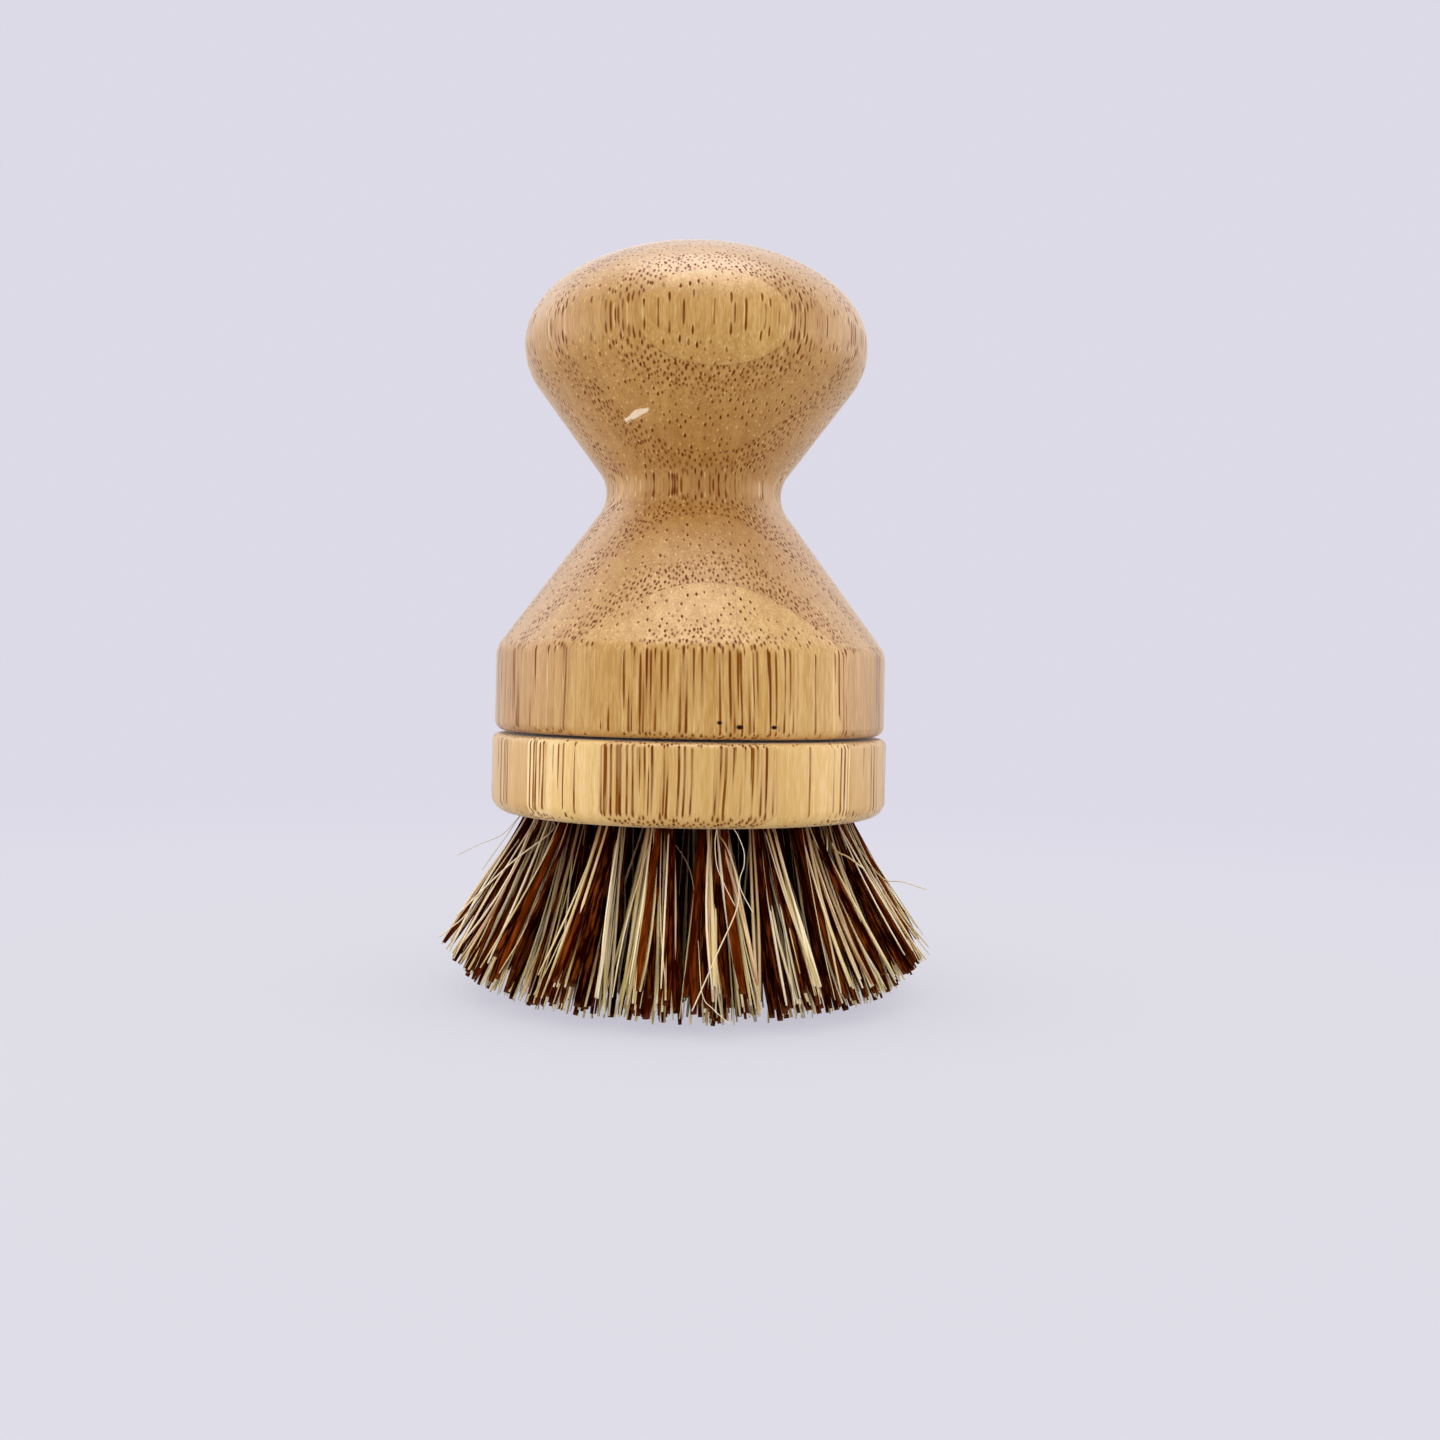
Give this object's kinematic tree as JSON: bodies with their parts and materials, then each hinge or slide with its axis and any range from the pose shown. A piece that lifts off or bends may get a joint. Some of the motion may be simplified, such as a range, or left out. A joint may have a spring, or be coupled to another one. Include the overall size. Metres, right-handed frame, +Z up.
{
  "type": "pot brush",
  "caption": "Round turned bamboo pot brush: a knob handle on a flared base that unscrews from a disc head, with slanted tufts of mixed pale and dark plant fibre.",
  "frame": {"origin": "on the floor that the bristle tips stand on, under the middle of the head", "axes": "+Z up along the brush's axis from the bristles to the knob; -Y towards the picture's viewer"},
  "size_m": [0.0638, 0.0638, 0.0983],
  "materials": {
    "bamboo_handle": "laminated caramel bamboo, sanded and oiled to a satin sheen",
    "bamboo_head": "laminated caramel bamboo, sanded and oiled to a satin sheen",
    "bristle_fibre": "stiff plant fibre, pale straw strands mixed with dark red-brown ones",
    "bolt_steel": "bright zinc plate",
    "insert_brass": "machined brass"
  },
  "bodies": {
    "head": {"head_disc": "bamboo_head", "threaded_insert": "insert_brass", "tuft_outer_01": "bristle_fibre", "tuft_outer_02": "bristle_fibre", "tuft_outer_03": "bristle_fibre", "tuft_outer_04": "bristle_fibre", "tuft_outer_05": "bristle_fibre", "tuft_outer_06": "bristle_fibre", "tuft_outer_07": "bristle_fibre", "tuft_outer_08": "bristle_fibre", "tuft_outer_09": "bristle_fibre", "tuft_outer_10": "bristle_fibre", "tuft_outer_11": "bristle_fibre", "tuft_outer_12": "bristle_fibre", "tuft_outer_13": "bristle_fibre", "tuft_outer_14": "bristle_fibre", "tuft_outer_15": "bristle_fibre", "tuft_outer_16": "bristle_fibre", "tuft_outer_17": "bristle_fibre", "tuft_outer_18": "bristle_fibre", "tuft_outer_19": "bristle_fibre", "tuft_outer_20": "bristle_fibre", "tuft_middle_01": "bristle_fibre", "tuft_middle_02": "bristle_fibre", "tuft_middle_03": "bristle_fibre", "tuft_middle_04": "bristle_fibre", "tuft_middle_05": "bristle_fibre", "tuft_middle_06": "bristle_fibre", "tuft_middle_07": "bristle_fibre", "tuft_middle_08": "bristle_fibre", "tuft_middle_09": "bristle_fibre", "tuft_middle_10": "bristle_fibre", "tuft_middle_11": "bristle_fibre", "tuft_middle_12": "bristle_fibre", "tuft_inner_01": "bristle_fibre", "tuft_inner_02": "bristle_fibre", "tuft_inner_03": "bristle_fibre", "tuft_inner_04": "bristle_fibre", "tuft_inner_05": "bristle_fibre", "tuft_inner_06": "bristle_fibre"},
    "bolt": {"hanger_bolt": "bolt_steel"},
    "handle": {"handle": "bamboo_handle"}
  },
  "joints": [
    {"name": "handle_rise", "type": "slide", "parent": "head", "child": "bolt", "axis": [0, 0, 1], "range_m": [0, 0.0064]},
    {"name": "handle_turn", "type": "hinge", "parent": "bolt", "child": "handle", "pos_m": [0, 0, 0.03405], "axis": [0, 0, 1], "range_deg": [0, 2880]}
  ],
  "couplings": [
    {"joint": "handle_rise", "follows": "handle_turn", "m_per_rad": 0.00012732}
  ]
}
